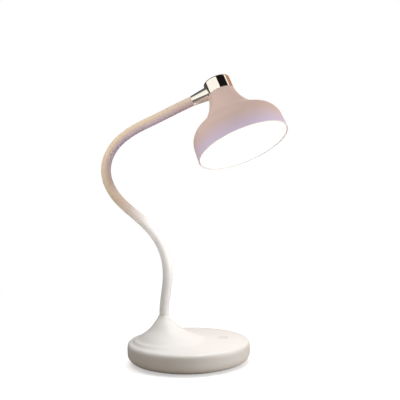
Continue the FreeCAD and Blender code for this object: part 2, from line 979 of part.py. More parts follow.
def ferrule():
    """The chrome sleeve between neck and head: a cone outside, with a threaded stem that enters the hub."""
    mouth = -size.ferrule_reach
    socket = size.hose_radius + size.fit
    body = turned(
        (socket, mouth),
        (size.ferrule_small - size.ferrule_edge_width, mouth),
        (size.ferrule_small, mouth + size.ferrule_edge_width),
        (size.ferrule_large, -size.cap_radius),
        (size.ferrule_large, size.stem_radius - size.cap_radius),
        (size.lead_hole, size.stem_radius - size.cap_radius),
        (size.lead_hole, mouth + size.ferrule_socket),
        (socket, mouth + size.ferrule_socket),
    )
    body.Placement = along_stem
    # its large end is shaped to the round cap and neck, and a collar steps down to the stem
    seat = cylinder(size.cap_radius + size.gap / 2, 3 * size.ferrule_large)
    neck_seat = bell(-size.gap / 2, 0.0)
    stem_length = size.cap_radius - size.stem_end
    stem_start = -size.cap_radius - size.stem_overlap
    stem = cut(
        cylinder(size.stem_radius, stem_length + size.stem_overlap, along_stem * spot(z=stem_start)),
        cylinder(
            size.lead_hole,
            stem_length + size.stem_overlap + 2 * over,
            along_stem * spot(z=stem_start - over),
        ),
    )
    hole = cylinder(size.grub_radius + size.thread_fit, size.ferrule_small + 2 * over, grub_place)
    return keep(cut(fused(cut(body, seat, neck_seat), stem), hole), "ferrule", head)


along_stem = spot(z=size.ferrule_rise) * Placement(Vector(), Rotation(Vector(0, 1, 0), 90))
grub_place = spot(size.grub_setback - size.ferrule_reach, 0, size.ferrule_rise) * Placement(
    Vector(), Rotation(Vector(1, 0, 0), 180)
)


def ferrule_set_screw():
    """The grub screw in the ferrule's underside, with its hexagonal socket."""
    start = size.hose_radius + size.fit
    length = size.ferrule_small + size.gap - start
    place = grub_place * spot(z=start)
    key_place = place * spot(z=length - size.grub_key_depth)
    key = hexagon(size.grub_key_width, size.grub_key_depth + over, key_place)
    return keep(cut(cylinder(size.grub_radius, length, place), key), "ferrule_set_screw", head)


def stem_nut():
    """The nut inside the hub that pulls the stem tight, its flats across the pocket's ends."""
    nut_face = size.fit - size.pocket_back
    bar = hexagon(size.stem_nut_width, size.stem_nut_height, along_stem * spot(z=nut_face, turn=nut_turn))
    thread = cylinder(
        size.stem_radius + size.fit, size.stem_nut_height + 2 * over, along_stem * spot(z=nut_face - over)
    )
    return keep(cut(bar, thread), "stem_nut", head)


nut_turn = Rotation(along_z, 30)


def top_cap():
    """The chrome cup over the neck, rounded at its top edge and open for the ferrule's stem."""
    inner = size.cap_radius - size.cap_wall
    inner_top = size.cap_height - size.cap_wall
    bend = size.cap_rounding
    corner = math.sqrt(0.5)
    middle = (
        size.cap_radius - bend + bend * corner,
        size.cap_height - bend + bend * corner,
    )
    body = turned(
        (inner, size.fit),
        (size.cap_radius, size.fit),
        (size.cap_radius, size.cap_height - bend),
        (middle, (size.cap_radius - bend, size.cap_height)),
        (0, size.cap_height),
        (0, inner_top),
        (inner, inner_top),
    )
    hole_start = -size.cap_radius - over
    hole = cylinder(size.stem_radius + size.fit, size.cap_radius, along_stem * spot(z=hole_start))
    return keep(cut(body, hole), "top_cap", head)


def neck_hub():
    """The moulded plug that the cap, the shade and the ferrule's stem are all fixed to."""
    in_cap = size.cap_radius - size.cap_wall - size.fit
    in_neck = size.shade_top - size.shade_wall - size.gap
    bottom = size.fit - size.shelf_depth
    # the top edge's chamfer keeps clear of the round inside the cap
    top = size.cap_height - size.cap_wall - size.gap
    body = turned(
        (0, bottom),
        (in_neck, bottom),
        (in_neck, size.fit),
        (in_cap, size.fit),
        (in_cap, top - size.hub_chamfer_width),
        (in_cap - size.hub_chamfer_width, top),
        (0, top),
    )
    pocket = box(
        size.pocket_front + size.pocket_back,
        size.pocket_width,
        size.pocket_top + size.shelf_depth + over,
        spot((size.pocket_front - size.pocket_back) / 2, 0, -size.shelf_depth - over),
    )
    bore = cylinder(size.stem_radius + size.fit, size.cap_radius, along_stem * spot(z=-size.cap_radius))
    pilot_start = -size.shelf_depth - over / 2
    pilots = [
        cylinder(size.small_screw + size.fit, size.small_screw_length, spot(0, y, pilot_start))
        for y in hub_screws
    ]
    return keep(cut(body, pocket, bore, *pilots), "neck_hub", head)


hub_screws = [-size.hub_screw_spread, size.hub_screw_spread]
led_screws = around(3, size.led_screw_ring, led_screw_turn)


def shade_line(inset):
    """The bell's outline from neck to mouth, as corners and arc middles at a depth below the neck's top."""
    lean = math.radians(size.neck_angle)
    steep = math.radians(size.steep_angle)
    skirt = math.radians(size.skirt_angle)

    def out(angle):
        return (math.cos(angle), -math.sin(angle))

    def along(angle):
        return (math.sin(angle), math.cos(angle))

    def step(point, direction, length):
        return (point[0] + direction[0] * length, point[1] + direction[1] * length)

    top = (size.shade_top, 0)
    neck_curve = size.neck_curve_radius
    shoulder_curve = size.shoulder_curve_radius
    hollow = step(top, out(lean), neck_curve)
    turn_point = step(hollow, out(steep), -neck_curve)
    mouth = (size.mouth_radius, size.shade_height)
    # the straight run between the two curves and the straight skirt close the outline on the mouth
    bulge = step(step((0, 0), out(steep), -shoulder_curve), out(skirt), shoulder_curve)
    left_r = mouth[0] - turn_point[0] - bulge[0]
    left_h = mouth[1] - turn_point[1] - bulge[1]
    determinant = along(steep)[0] * along(skirt)[1] - along(skirt)[0] * along(steep)[1]
    run = (left_r * along(skirt)[1] - along(skirt)[0] * left_h) / determinant
    shoulder_start = step(turn_point, along(steep), run)
    shoulder = step(shoulder_start, out(steep), -shoulder_curve)

    def on_hollow(angle):
        return step(hollow, out(angle), -(neck_curve + inset))

    def on_shoulder(angle):
        return step(shoulder, out(angle), shoulder_curve - inset)

    return SimpleNamespace(
        on_hollow=on_hollow,
        on_shoulder=on_shoulder,
        hollow=hollow,
        lean=lean,
        steep=steep,
        skirt=skirt,
        straight_end=step(shoulder_start, out(steep), -inset),
        mouth=step(mouth, out(skirt), -inset),
        inset=inset,
    )


def bell(inset, depth):
    """The solid bell below `depth`, inset from the outer face."""
    line = shade_line(inset)
    first = math.asin((depth - line.hollow[1]) / (size.neck_curve_radius + inset))
    middle = (first + line.steep) / 2

    def down(point):
        return (point[0], -point[1])

    mouth = down(line.mouth)
    foot = mouth
    if inset != 0:
        # the hollow runs out past the rim
        foot = (mouth[0] + over * math.tan(line.skirt), -size.shade_height - over)
    return turned(
        (0, -depth),
        down(line.on_hollow(first)),
        (down(line.on_hollow(middle)), down(line.on_hollow(line.steep))),
        down(line.straight_end),
        (
            down(line.on_shoulder((line.steep + line.skirt) / 2)),
            down(line.on_shoulder(line.skirt)),
        ),
        foot,
        (0, foot[1]),
    )


def shade_shell():
    outer = bell(0, 0.0)
    cavity = bell(size.shade_wall, size.shelf_depth + size.shelf_thickness)
    socket = cylinder(size.shade_top - size.shade_wall, size.shelf_depth + over, spot(z=-size.shelf_depth))
    under_shelf = -size.shelf_depth - size.shelf_thickness - over
    window = cylinder(size.lead_window, size.shelf_thickness + 2 * over, spot(z=under_shelf))
    bosses = [
        cylinder(size.led_boss_radius, size.shade_height, spot(x, y, -size.led_depth))
        for x, y in led_screws
    ]
    pilots = [
        cylinder(size.small_screw + size.fit, size.small_screw_length, spot(x, y, -size.led_depth - over / 2))
        for x, y in led_screws
    ]
    holes = [
        cylinder(size.small_screw + size.gap, size.shelf_thickness + 2 * over, spot(0, y, under_shelf))
        for y in hub_screws
    ]
    made = cut(outer, cut(cavity, *bosses), socket, window, *pilots, *holes)
    return keep(made, "shade_shell", head)


def head_screws():
    """Two screws that hold the shade to the hub from inside."""
    heads_down = Rotation(Vector(1, 0, 0), 180)
    level = -size.shelf_depth - size.shelf_thickness
    made = [
        screw(
            size.small_screw,
            size.small_screw_length,
            size.small_head,
            size.small_head_height,
            spot(0, y, level, heads_down),
        )
        for y in hub_screws
    ]
    return keep(group(*made), "head_screws", head)


led_bottom = -size.led_depth - size.led_board_thickness


def led_board():
    disc = cylinder(size.led_board_radius, size.led_board_thickness, spot(z=led_bottom))
    holes = [
        cylinder(
            size.small_screw + size.gap, size.led_board_thickness + 2 * over, spot(x, y, led_bottom - over)
        )
        for x, y in led_screws
    ]
    return keep(cut(disc, *holes), "led_board", head)


def led_board_screws():
    heads_down = Rotation(Vector(1, 0, 0), 180)
    made = [
        screw(
            size.small_screw,
            size.small_screw_length,
            size.small_head,
            size.small_head_height,
            spot(x, y, led_bottom, heads_down),
        )
        for x, y in led_screws
    ]
    return keep(group(*made), "led_board_screws", head)


def led_chips():
    chips = [
        box(size.led_size, size.led_size, size.led_height, spot(x, y, led_bottom - size.led_height))
        for x, y in around(12, size.led_ring) + around(6, size.led_inner_ring)
    ]
    return keep(group(*chips), "led_chips", head)


def diffuser():
    """The opal cup that closes the mouth."""
    face = -size.shade_height + size.diffuser_recess
    slope = math.tan(math.radians(size.skirt_angle))
    wall = size.shade_wall / math.cos(math.radians(size.skirt_angle))
    rim = size.mouth_radius - wall - size.gap - size.diffuser_recess * slope
    top = face + size.diffuser_skirt_height
    rim_top = rim - size.diffuser_skirt_height * slope
    inside = size.diffuser_thickness
    body = turned(
        (0, face),
        (rim - size.diffuser_edge_width, face),
        (rim, face + size.diffuser_edge_width),
        (rim_top, top),
        (rim_top - inside, top),
        (rim_top - inside, face + inside),
        (0, face + inside),
    )
    return keep(body, "diffuser", head)


def head_lead():
    """The lead from the stem down through the hub and shelf to the LED board."""
    across = size.head_lead_offset
    points = [
        (-size.stem_end - size.head_lead_start, 0, size.ferrule_rise),
        (across, 0, size.ferrule_rise),
        (across, 0, -size.led_depth),
    ]
    return keep(pipe(points, size.lead_radius, size.lead_bend_radius), "head_lead", head)


makers = [
    base_top_shell,
    base_bottom_cover,
    non_slip_pad,
    counterweight,
    battery_cradle,
    battery_cell,
    control_board,
    control_board_screws,
    touch_spring,
    usb_board,
    usb_board_screws,
    usb_socket,
    charge_light_pipe,
    gooseneck_lower_fitting,
    gooseneck_washer,
    gooseneck_nut,
    base_lead,
    sleeves,
    hoses,
    ferrule,
    ferrule_set_screw,
    stem_nut,
    top_cap,
    neck_hub,
    shade_shell,
    head_screws,
    led_board,
    led_board_screws,
    led_chips,
    diffuser,
    head_lead,
]
for make in makers:
    make()
screws_from_below(around(4, boss_ring, cover_screw_turn), size.cover_screw_length - over, "cover_screws")
screws_from_below(
    around(3, size.weight_screw_ring, weight_screw_turn), size.weight_screw_length - over, "weight_screws"
)
doc.recompute()

for thing in doc.Objects:
    if "Invalid" in thing.State or "Error" in thing.State:
        raise RuntimeError(f"{thing.Label} did not build: {thing.State}")
os.makedirs("parts", exist_ok=True)
for label, thing in pieces.items():
    if thing.Shape.isNull() or not thing.Shape.isValid():
        raise RuntimeError(f"{label} has no valid shape")
for label, thing in pieces.items():
    thing.Shape.exportStep(f"parts/{label}.step")
print(len(pieces), "pieces written")
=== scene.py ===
# Gooseneck desk lamp, dressed: satin plastics, a soft sleeve on the neck, a polished cap and a lit face.
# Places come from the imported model. Sizes in the dictionaries are millimetres unless a note says otherwise.
import bpy
import bmesh
import json
import math
import numpy as np
from types import SimpleNamespace
from mathutils import Matrix, Vector
from mathutils.bvhtree import BVHTree

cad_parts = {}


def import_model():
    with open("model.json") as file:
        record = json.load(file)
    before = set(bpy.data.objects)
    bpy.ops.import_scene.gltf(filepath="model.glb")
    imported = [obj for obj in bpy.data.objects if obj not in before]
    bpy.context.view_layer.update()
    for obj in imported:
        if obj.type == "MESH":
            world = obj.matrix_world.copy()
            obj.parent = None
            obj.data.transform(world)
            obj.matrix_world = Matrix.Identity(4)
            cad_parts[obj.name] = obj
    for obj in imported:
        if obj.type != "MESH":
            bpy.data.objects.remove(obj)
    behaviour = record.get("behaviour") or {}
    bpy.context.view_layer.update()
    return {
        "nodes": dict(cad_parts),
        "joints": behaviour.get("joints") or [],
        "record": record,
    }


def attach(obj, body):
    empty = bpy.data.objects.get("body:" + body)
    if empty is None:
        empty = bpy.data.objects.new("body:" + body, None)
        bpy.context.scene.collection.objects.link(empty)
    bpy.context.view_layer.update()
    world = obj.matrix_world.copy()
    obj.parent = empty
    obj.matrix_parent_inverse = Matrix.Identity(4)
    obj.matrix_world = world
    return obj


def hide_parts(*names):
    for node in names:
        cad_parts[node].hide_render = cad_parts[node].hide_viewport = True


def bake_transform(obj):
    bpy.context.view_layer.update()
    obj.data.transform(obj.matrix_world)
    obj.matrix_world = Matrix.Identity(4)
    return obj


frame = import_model()
mm = 0.001
weldDistance = 1e-7     # metres
creaseAngle = 40.0      # degrees: steeper edges stay sharp
white = (1.0, 1.0, 1.0)
print("frame loaded:", len(frame["nodes"]), "nodes")


# Shader nodes

def addNode(tree, kind, **settings):
    node = tree.nodes.new(kind)
    for name, value in settings.items():
        setattr(node, name, value)
    return node


def ramp(tree, source, stops, interpolation="LINEAR"):
    # stops are (place, colour) pairs
    node = addNode(tree, "ShaderNodeValToRGB")
    node.color_ramp.interpolation = interpolation
    elements = node.color_ramp.elements
    while len(elements) < len(stops):
        elements.new(0.5)
    for element, (place, colour) in zip(elements, stops):
        element.position = place
        element.color = (*colour, 1.0)
    tree.links.new(source, node.inputs["Fac"])
    return node.outputs["Color"]


def noise(tree, vector, scale, detail=3.0):
    node = addNode(tree, "ShaderNodeTexNoise")
    node.inputs["Scale"].default_value = scale
    node.inputs["Detail"].default_value = detail
    tree.links.new(vector, node.inputs["Vector"])
    return node.outputs["Fac"]


def mapped(tree, source, low, high, start=0.0, end=1.0):
    # a source from start to end becomes a value from low to high
    node = addNode(tree, "ShaderNodeMapRange")
    node.inputs["From Min"].default_value = start
    node.inputs["From Max"].default_value = end
    node.inputs["To Min"].default_value = low
    node.inputs["To Max"].default_value = high
    tree.links.new(source, node.inputs["Value"])
    return node.outputs["Result"]


def feed(tree, socket, value):
    # a socket takes another node's output, a number or a colour
    if isinstance(value, bpy.types.NodeSocket):
        tree.links.new(value, socket)
    elif isinstance(value, float):
        socket.default_value = value
    else:
        socket.default_value = (*value, 1.0)


def blended(tree, share, first, second, mode="MIX"):
    node = addNode(tree, "ShaderNodeMix", data_type="RGBA", blend_type=mode)
    feed(tree, node.inputs[0], share)
    feed(tree, node.inputs[6], first)     # the mix node's colour sockets come after its number and vector ones
    feed(tree, node.inputs[7], second)
    return node.outputs[2]


def attribute(tree, name):
    return addNode(tree, "ShaderNodeAttribute", attribute_name=name).outputs["Fac"]


# Meshes

def newPiece(name, vertices, faces, material, sharpAngle=creaseAngle):
    mesh = bpy.data.meshes.new(name)
    mesh.from_pydata([tuple(v) for v in vertices], [], faces)
    return dressed(name, mesh, material, sharpAngle)


def dressed(name, mesh, material, sharpAngle=creaseAngle):
    build = bmesh.new()
    build.from_mesh(mesh)
    bmesh.ops.remove_doubles(build, verts=build.verts, dist=weldDistance)
    bmesh.ops.recalc_face_normals(build, faces=build.faces)
    build.to_mesh(mesh)
    build.free()
    mesh.polygons.foreach_set("use_smooth", [True] * len(mesh.polygons))
    mesh.set_sharp_from_angle(angle=math.radians(sharpAngle))
    mesh.materials.clear()
    mesh.materials.append(material)
    piece = bpy.data.objects.new(name, mesh)
    bpy.context.scene.collection.objects.link(piece)
    return piece


def arc(middle, radius, start, end, steps):
    # points from one angle to another in degrees, both ends included
    turns = [math.radians(start + (end - start) * i / steps) for i in range(steps + 1)]
    return [(middle[0] + radius * math.cos(t), middle[1] + radius * math.sin(t)) for t in turns]


def lathed(name, outline, place, material, segments=192, sharpAngle=creaseAngle):
    # a closed (radius, height) outline turned about the Z axis of place
    vertices = []
    for step in range(segments):
        turn = 2 * math.pi * step / segments
        for radius, height in outline:
            at = Vector((radius * math.cos(turn), radius * math.sin(turn), height)) * mm
            vertices.append(place @ at)
    count = len(outline)
    onAxis = [radius < 1e-9 for radius, height in outline]
    faces = []
    for step in range(segments):
        here = step * count
        there = (step + 1) % segments * count
        for i in range(count):
            j = (i + 1) % count
            if onAxis[i] and onAxis[j]:
                continue
            if onAxis[i]:
                faces.append((here + i, there + j, here + j))
            elif onAxis[j]:
                faces.append((here + i, there + i, here + j))
            else:
                faces.append((here + i, there + i, there + j, here + j))
    return newPiece(name, vertices, faces, material, sharpAngle)


def noteHeight(piece, place):
    # each point's height along the Z axis of place, in millimetres, for the finish to read
    back = place.inverted()
    heights = [(back @ vertex.co).z / mm for vertex in piece.data.vertices]
    layer = piece.data.attributes.new("heightOnAxis", "FLOAT", "POINT")
    layer.data.foreach_set("value", heights)


def standsFor(piece, body, slotName, *nodes):
    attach(piece, body)
    if nodes:
        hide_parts(*nodes)


def pointsOf(node):
    mesh = frame["nodes"][node].data
    flat = np.zeros(len(mesh.vertices) * 3)
    mesh.vertices.foreach_get("co", flat)
    return flat.reshape(-1, 3)


# Finishes

commonFinish = {
    "drift": 0.04,            # share by which the colour wanders to each side
    "cloud": 40.0,            # this noise and the grain are counted over a metre
    "cloudEdges": (0.35, 0.65),
    "grain": 2500.0,
    "spread": 0.05,           # how far the grain moves the roughness to each side
    "relief": 0.15,
    "reliefDepth": 0.02,
    "ior": 1.46,
    "metal": 0.0,
    "coat": 0.0,
    "clear": 0.0,
    "glow": 0.0,
    "sheen": 0.0,
    "sheenRough": 0.4,
    "sheenTint": white,
}

paints = {
    "base_plastic": {
        "colour": (0.88, 0.86, 0.83), "rough": 0.42, "drift": 0.015, "cloud": 25.0, "relief": 0.12,
    },
    "cover_plastic": {
        "colour": (0.78, 0.76, 0.72), "rough": 0.55, "drift": 0.03, "relief": 0.4, "grain": 1800.0,
    },
    "pad_rubber": {
        "colour": (0.055, 0.055, 0.06), "rough": 0.85, "drift": 0.15, "relief": 0.8, "grain": 1500.0,
    },
    "cast_weight": {
        "colour": (0.09, 0.09, 0.095), "rough": 0.7, "drift": 0.2, "relief": 0.8, "grain": 900.0,
    },
    "inner_plastic": {"colour": (0.62, 0.61, 0.58), "rough": 0.5},
    "battery_wrap": {"colour": (0.5, 0.52, 0.54), "rough": 0.3, "metal": 0.6, "drift": 0.08},
    "circuit_board": {"colour": (0.01, 0.09, 0.03), "rough": 0.35, "coat": 0.5, "drift": 0.15},
    "plated_steel": {"colour": (0.62, 0.62, 0.63), "rough": 0.28, "metal": 1.0, "drift": 0.06},
    "brass_fitting": {"colour": (0.62, 0.42, 0.16), "rough": 0.3, "metal": 1.0, "drift": 0.08},
    "clear_plastic": {"colour": (0.85, 0.88, 0.9), "rough": 0.12, "clear": 0.7},
    "lead_jacket": {"colour": (0.02, 0.02, 0.02), "rough": 0.6, "drift": 0.1},
    "neck_sleeve": {"colour": (0.72, 0.58, 0.47), "rough": 0.55, "drift": 0.03, "relief": 0.04},
    "hose_steel": {"colour": (0.4, 0.4, 0.41), "rough": 0.35, "metal": 1.0, "drift": 0.1},
    "chrome_trim": {
        "colour": (0.97, 0.96, 0.94), "rough": 0.03, "metal": 1.0, "drift": 0.01, "spread": 0.01, "relief": 0.0,
    },
    "shade_paint": {
        "colour": (0.56, 0.415, 0.365), "rough": 0.5, "drift": 0.025, "cloud": 30.0, "relief": 0.06,
        "sheen": 0.2, "sheenTint": (1.0, 0.80, 0.72),
    },
    "led_plate": {"colour": (0.8, 0.8, 0.8), "rough": 0.35},
    "led_chip": {"colour": (0.95, 0.8, 0.35), "rough": 0.3, "drift": 0.1},
    "opal_diffuser": {"colour": (0.9, 0.9, 0.9), "rough": 0.35, "drift": 0.01, "glow": 1.1},
    "mark_ink": {"colour": (0.34, 0.33, 0.32), "rough": 0.5, "drift": 0.05},
}


def finishOf(name, recipe):
    # the colour drifts a little over the piece, and the grain stands in the bump and the roughness
    r = commonFinish | recipe
    material = bpy.data.materials.new(name)
    material.use_nodes = True
    material.cycles.emission_sampling = "NONE"    # the lamps light the scene, and this keeps speckles down
    tree = material.node_tree
    shader = tree.nodes["Principled BSDF"]
    place = addNode(tree, "ShaderNodeTexCoord").outputs["Object"]
    darker = tuple(c * (1 - r["drift"]) for c in r["colour"])
    lighter = tuple(min(1.0, c * (1 + r["drift"])) for c in r["colour"])
    painted = ramp(tree, noise(tree, place, r["cloud"]), list(zip(r["cloudEdges"], (darker, lighter))))
    tree.links.new(painted, shader.inputs["Base Color"])
    grain = noise(tree, place, r["grain"], 2.0)
    rough = mapped(tree, grain, r["rough"] - r["spread"], r["rough"] + r["spread"])
    tree.links.new(rough, shader.inputs["Roughness"])
    bump = addNode(tree, "ShaderNodeBump")
    bump.inputs["Strength"].default_value = r["relief"]
    bump.inputs["Distance"].default_value = r["reliefDepth"] * mm
    tree.links.new(grain, bump.inputs["Height"])
    tree.links.new(bump.outputs["Normal"], shader.inputs["Normal"])
    constants = {
        "Metallic": r["metal"],
        "IOR": r["ior"],
        "Coat Weight": r["coat"],
        "Transmission Weight": r["clear"],
        "Sheen Weight": r["sheen"],
        "Sheen Roughness": r["sheenRough"],
        "Sheen Tint": (*r["sheenTint"], 1.0),
        "Emission Color": (*white, 1.0),
        "Emission Strength": r["glow"],
    }
    for socket, value in constants.items():
        shader.inputs[socket].default_value = value
    return SimpleNamespace(material=material, tree=tree, shader=shader, place=place, painted=painted)


finishes = {name: finishOf(name, recipe) for name, recipe in paints.items()}

# painted light: the foot of the neck is whitened as if lit by the lamp's own light
paintedLampLightAtFoot = (0.86, 0.84, 0.82)

sleeveTintsWithPaintedLight = {
    # colours by the share of the way along the neck: white at the foot is painted lamp light, and on the inner
    # side the brown is painted shade and the lilac is painted light
    "outer": [
        (0.36, paintedLampLightAtFoot), (0.48, (0.68, 0.54, 0.40)), (0.80, (0.68, 0.54, 0.40)), (0.96, (0.62, 0.50, 0.42)),
    ],
    "inner": [
        (0.36, paintedLampLightAtFoot), (0.45, (0.57, 0.44, 0.38)), (0.56, (0.57, 0.44, 0.38)),
        (0.68, (0.66, 0.54, 0.70)), (0.84, (0.66, 0.54, 0.70)), (0.96, (0.64, 0.48, 0.48)),
    ],
    "sidesMeet": (-0.25, 0.65),       # outer turns to inner as a place faces the lamp by this much
    "cloud": 60.0,
    "cloudTint": (0.95, 0.95, 0.96),
}


def paintSleeveWithPaintedLight():
    # white at the foot as painted lamp light, then blush, with painted cool light and painted shade on the side
    # that faces the lit shade
    paint = finishes["neck_sleeve"]
    tree = paint.tree
    t = sleeveTintsWithPaintedLight
    along = attribute(tree, "alongNeck")
    facing = attribute(tree, "facingLamp")
    outer = ramp(tree, along, t["outer"])
    inner = ramp(tree, along, t["inner"])
    sides = blended(tree, mapped(tree, facing, 0.0, 1.0, *t["sidesMeet"]), outer, inner)
    cloud = ramp(tree, noise(tree, paint.place, t["cloud"]), [(0.3, t["cloudTint"]), (0.7, white)])
    tree.links.new(blended(tree, 1.0, sides, cloud, "MULTIPLY"), paint.shader.inputs["Base Color"])


shadeTints = {
    "glow": (0.58, 0.53, 0.79),
    "glowShare": 0.66,
    "glowHeights": (-42.0, -59.0),    # heights on the shade's axis
    "rim": (0.82, 0.77, 0.72),
    "rimHeights": (-58.3, -58.8),
}


def paintShade():
    # light from the mouth tints the skirt, and the rim itself is left pale
    paint = finishes["shade_paint"]
    tree = paint.tree
    t = shadeTints
    height = attribute(tree, "heightOnAxis")
    skirt = mapped(tree, height, 0.0, t["glowShare"], *t["glowHeights"])
    tinted = blended(tree, skirt, paint.painted, t["glow"])
    rim = mapped(tree, height, 0.0, 1.0, *t["rimHeights"])
    tree.links.new(blended(tree, rim, tinted, t["rim"]), paint.shader.inputs["Base Color"])


def dressCadNodes():
    slots = {entry["node"]: entry["material_slot"] for entry in frame["record"]["subparts"]}
    for name, node in frame["nodes"].items():
        material = finishes[slots[name]].material
        if node.material_slots:
            for holder in node.material_slots:
                holder.material = material
        else:
            node.data.materials.append(material)


paintSleeveWithPaintedLight()
paintShade()
dressCadNodes()
print("finishes made:", len(finishes))


# Base: the CAD shell with its shoulder drawn out squarer, and the touch mark printed on its crown

baseShape = {
    "edgeMiddle": 55.2,       # the shoulder turns about this radius and level
    "edgeLevel": 14.3,
    "squareness": 3.5,        # 2 is a round shoulder
    "rimStretch": 0.22,       # the crown's rim stands higher by this share of its height over the level
    "stretchFrom": 30.0,
    "longestEdge": 6.0,       # longer edges are halved before the shell is drawn out
    "halvings": 3,
}


def eased(value, start, end):
    share = min(1.0, max(0.0, (value - start) / (end - start)))
    return share * share * (3 - 2 * share)


def squarer(point):
    # moves a point of the round shoulder outwards to the squarer one, and lifts the crown's rim to it
    b = baseShape
    x, y, z = (c / mm for c in point)
    radius = math.hypot(x, y)
    out, up = radius - b["edgeMiddle"], z - b["edgeLevel"]
    if up <= 0:
        return point
    if out > 0:
        far = math.hypot(out, up)
        n = b["squareness"]
        grow = ((out / far) ** n + (up / far) ** n) ** (-1 / n)
        out, up = out * grow, up * grow
    up *= 1 + b["rimStretch"] * eased(radius, b["stretchFrom"], b["edgeMiddle"])
    wider = (out + b["edgeMiddle"]) / radius if radius > 0 else 1.0
    return Vector((x * wider, y * wider, up + b["edgeLevel"])) * mm


def base():
    b = baseShape
    mesh = frame["nodes"]["base_top_shell"].data.copy()
    mesh.name = "baseShell"
    build = bmesh.new()
    build.from_mesh(mesh)
    bmesh.ops.remove_doubles(build, verts=build.verts, dist=weldDistance)
    for _ in range(b["halvings"]):
        longEdges = [edge for edge in build.edges if edge.calc_length() > b["longestEdge"] * mm]
        bmesh.ops.subdivide_edges(build, edges=longEdges, cuts=1)
        bmesh.ops.triangulate(build, faces=build.faces)
    for vertex in build.verts:
        vertex.co = squarer(vertex.co)
    build.to_mesh(mesh)
    build.free()
    piece = dressed("baseShell", mesh, finishes["base_plastic"].material)
    standsFor(piece, "base", "base_plastic", "base_top_shell")
    return BVHTree.FromPolygons([v.co for v in mesh.vertices], [p.vertices for p in mesh.polygons])


markShape = {
    "ringPlace": 35.2,
    "ringRadius": 3.8,
    "ringOpening": 35.0,      # degrees to each side of the neck's direction
    "barStart": 28.9,
    "barEnd": 32.6,
    "lineWidth": 0.6,
    "rise": 0.03,
    "sink": 0.1,
    "steps": 48,
    "above": 60.0,            # the crown is felt for from this height
}


def printedLine(name, middleLine, shell):
    # a thin closed strip that lies on the crown along a line of (x, y) points
    m = markShape
    vertices = []
    for i, (x, y) in enumerate(middleLine):
        before = middleLine[max(i - 1, 0)]
        after = middleLine[min(i + 1, len(middleLine) - 1)]
        way = Vector((after[0] - before[0], after[1] - before[1])).normalized()
        for side in (-1, 1):
            px = x - way.y * side * m["lineWidth"] / 2
            py = y + way.x * side * m["lineWidth"] / 2
            crown = shell.ray_cast(Vector((px, py, m["above"])) * mm, Vector((0, 0, -1)))[0]
            for lift in (m["rise"], -m["sink"]):
                vertices.append(crown + Vector((0, 0, lift)) * mm)
    faces = [(0, 1, 3, 2)]
    for i in range(len(middleLine) - 1):
        a, b = 4 * i, 4 * i + 4
        faces += [
            (a, a + 2, b + 2, b), (a + 1, b + 1, b + 3, a + 3), (a, b, b + 1, a + 1), (a + 2, a + 3, b + 3, b + 2),
        ]
    last = len(vertices) - 4
    faces.append((last, last + 2, last + 3, last + 1))
    piece = newPiece(name, vertices, faces, finishes["mark_ink"].material)
    standsFor(piece, "base", "inner_plastic")


def touchMark(shell):
    m = markShape
    reach = 180 - m["ringOpening"]
    ring = arc((m["ringPlace"], 0), m["ringRadius"], -reach, reach, m["steps"])
    printedLine("touchRing", ring, shell)
    printedLine("touchBar", [(m["barStart"], 0.0), (m["barEnd"], 0.0)], shell)


touchMark(base())
print("base made")


# Head: shade, cap, ferrule and diffuser

headShape = {
    "boardDepth": 46.2,       # middle of the LED board below the joint of cap and shade
    "ferruleReach": 28.5,
    "ferruleRise": 5.0,
    "ferruleSmall": 5.0,
    "ferruleLarge": 6.6,
    "ferruleSink": 2.2,       # how far the ferrule runs on inside the cap
    "ferruleEdge": 0.3,
    "ferruleCorner": 0.08,
    "hoseHole": 3.35,
}


def headFrame():
    # the LED board is a flat disc across the shade's axis, and the set screw stands where the neck comes in
    board = pointsOf("led_board")
    directions = np.linalg.eigh(np.cov(board.T))[1]
    axis = Vector(directions[:, 0])      # the thinnest way through the board
    middle = Vector((board.min(0) + board.max(0)) / 2)
    cap = Vector(pointsOf("top_cap").mean(0))
    if axis.dot(cap - middle) < 0:
        axis = -axis
    origin = middle + axis * headShape["boardDepth"] * mm
    grub = Vector(pointsOf("ferrule_set_screw").mean(0)) - origin
    outward = grub - axis * grub.dot(axis)
    sideX = -outward.normalized()
    sideY = axis.cross(sideX)
    turned = Matrix((sideX, sideY, axis)).transposed().to_4x4()
    return Matrix.Translation(origin) @ turned


head = headFrame()
print("head at", [round(v / mm, 2) for v in head.translation])

shadeShape = {
    "top": 13.3,
    "height": 59.3,
    "mouth": 45.8,
    "wall": 1.8,
    "neckCurve": 35.0,
    "shoulderCurve": 19.0,
    "neckAngle": 6.0,
    "steepAngle": 58.0,
    "skirtAngle": 3.5,
    "shelf": 6.0,
    "shelfWall": 2.0,
    "shelfGap": 0.5,          # the inside's curve starts this far under the shelf
    "window": 5.0,
    "neckSteps": 24,
    "shoulderSteps": 16,
}


def shadeOutline(inset):
    # the bell from the neck's top to the mouth, as (radius, depth) points
    s = shadeShape
    lean, steep, skirt = (math.radians(s[k]) for k in ("neckAngle", "steepAngle", "skirtAngle"))

    def outward(angle):
        return Vector((math.cos(angle), -math.sin(angle)))

    def along(angle):
        return Vector((math.sin(angle), math.cos(angle)))

    hollow = Vector((s["top"], 0)) + outward(lean) * s["neckCurve"]
    turnPoint = hollow - outward(steep) * s["neckCurve"]
    mouth = Vector((s["mouth"], s["height"]))
    bulge = (outward(skirt) - outward(steep)) * s["shoulderCurve"]
    left = mouth - turnPoint - bulge
    run, _ = np.linalg.solve(np.array([along(steep), along(skirt)]).T, np.array(left))
    shoulder = turnPoint + along(steep) * float(run) - outward(steep) * s["shoulderCurve"]
    points = []
    for i in range(s["neckSteps"] + 1):
        angle = lean + (steep - lean) * i / s["neckSteps"]
        points.append(hollow - outward(angle) * (s["neckCurve"] + inset))
    for i in range(s["shoulderSteps"] + 1):
        angle = steep + (skirt - steep) * i / s["shoulderSteps"]
        points.append(shoulder + outward(angle) * (s["shoulderCurve"] - inset))
    points.append(mouth - outward(skirt) * inset)
    return [(float(p.x), float(p.y)) for p in points]


